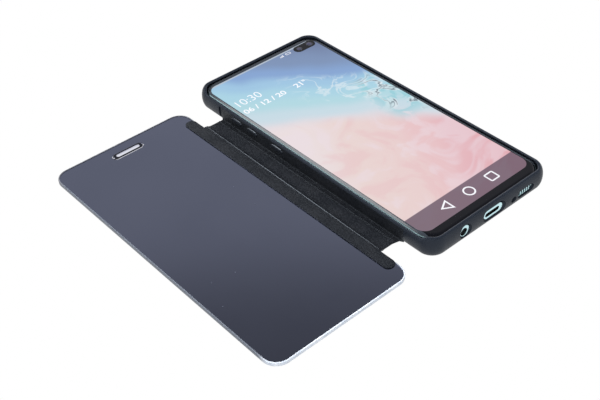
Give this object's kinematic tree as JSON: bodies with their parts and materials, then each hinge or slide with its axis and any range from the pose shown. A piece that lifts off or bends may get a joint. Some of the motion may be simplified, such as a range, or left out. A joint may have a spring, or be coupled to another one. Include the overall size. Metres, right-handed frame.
{
  "type": "smartphone in flip case",
  "caption": "Slab touchscreen phone held in a flexible tray case, with a smoked mirror cover hinged on a two-crease leather spine, lying open.",
  "frame": {"origin": "centre of the case's back face, on the surface that the object rests on", "axes": "+Z out of the screen, +Y towards the phone's top end, +X towards the phone's right side, so the open cover lies on the -X side"},
  "size_m": [0.1633, 0.1622, 0.0107],
  "materials": {
    "tray": "flexible charcoal plastic with a fine matte texture",
    "leather": "near-black synthetic leather with a fine grain",
    "smoke": "clear smoked polycarbonate, polished",
    "mirror": "dark see-through mirror film",
    "glass": "polished cover glass",
    "display": "lit display with a soft pastel background",
    "frame": "polished pale aqua anodising",
    "steel": "plain stamped steel",
    "copper": null,
    "board": "green solder mask",
    "battery": "wrapped lithium cell",
    "plastic": "moulded black plastic"
  },
  "bodies": {
    "tray": {"case_tray": "tray", "back_skin": "leather", "wall_skin": "leather", "mid_frame": "frame", "front_glass": "glass", "rear_glass": "glass", "sim_tray": "frame", "display_panel": "display", "display_backing": "copper", "front_camera_main": "plastic", "front_camera_depth": "plastic", "camera_bezel": "plastic", "rear_lens_wide": "glass", "rear_camera_wide": "plastic", "rear_lens_tele": "glass", "rear_camera_tele": "plastic", "rear_lens_ultrawide": "glass", "rear_camera_ultrawide": "plastic", "flash_window": "glass", "main_board": "board", "processor_shield": "steel", "radio_shield": "steel", "heat_pipe": "copper", "battery": "battery", "ferrite_sheet": "plastic", "charging_coil": "copper", "charge_flex": "copper", "sub_board": "board", "usb_socket": "steel", "usb_tongue": "plastic", "headphone_jack": "plastic", "loudspeaker": "plastic", "vibration_motor": "steel", "microphone": "steel", "earpiece_speaker": "plastic", "upper_bracket": "plastic", "lower_bracket": "plastic", "bracket_screw_1": "steel", "bracket_screw_2": "steel", "bracket_screw_3": "steel", "bracket_screw_4": "steel", "bracket_screw_5": "steel", "bracket_screw_6": "steel"},
    "spine": {"spine_outer_skin": "leather", "spine_board": "plastic", "spine_inner_skin": "leather"},
    "cover": {"cover_panel": "smoke", "mirror_film": "mirror", "cover_strip": "leather", "earpiece_ring": "smoke"},
    "volume_up_pad": {"volume_up_pad": "tray"},
    "volume_down_pad": {"volume_down_pad": "tray"},
    "assistant_pad": {"assistant_pad": "tray"},
    "power_pad": {"power_pad": "tray"},
    "volume_rocker": {"volume_rocker": "frame"},
    "assistant_key": {"assistant_key": "frame"},
    "power_key": {"power_key": "frame"}
  },
  "joints": [
    {"name": "spine_fold", "type": "hinge", "parent": "tray", "child": "spine", "pos_m": [-0.0393, 0, 0.00055], "axis": [0, 1, 0], "range_deg": [-160, 90]},
    {"name": "cover_fold", "type": "hinge", "parent": "spine", "child": "cover", "pos_m": [-0.0497, 0, 0.0019], "axis": [0, 1, 0], "range_deg": [-20, 90]},
    {"name": "volume_up_press", "type": "slide", "parent": "tray", "child": "volume_up_pad", "axis": [1, 0, 0], "range_m": [0, 0.0003], "stiffness_N_per_m": 4000},
    {"name": "volume_down_press", "type": "slide", "parent": "tray", "child": "volume_down_pad", "axis": [1, 0, 0], "range_m": [0, 0.0003], "stiffness_N_per_m": 4000},
    {"name": "assistant_press", "type": "slide", "parent": "tray", "child": "assistant_pad", "axis": [1, 0, 0], "range_m": [0, 0.0003], "stiffness_N_per_m": 4000},
    {"name": "power_press", "type": "slide", "parent": "tray", "child": "power_pad", "axis": [-1, 0, 0], "range_m": [0, 0.0003], "stiffness_N_per_m": 4000},
    {"name": "rocker_tilt", "type": "hinge", "parent": "tray", "child": "volume_rocker", "pos_m": [-0.03665, 0.0427, 0.0054], "axis": [0, 0, 1], "range_deg": [-0.8, 0.8], "stiffness_Nm_per_rad": 0.3},
    {"name": "assistant_key_press", "type": "slide", "parent": "tray", "child": "assistant_key", "axis": [1, 0, 0], "range_m": [0, 0.0003]},
    {"name": "power_key_press", "type": "slide", "parent": "tray", "child": "power_key", "axis": [-1, 0, 0], "range_m": [0, 0.0003]}
  ],
  "couplings": [
    {"joint": "assistant_key_press", "follows": "assistant_press", "ratio": 1},
    {"joint": "power_key_press", "follows": "power_press", "ratio": 1}
  ]
}
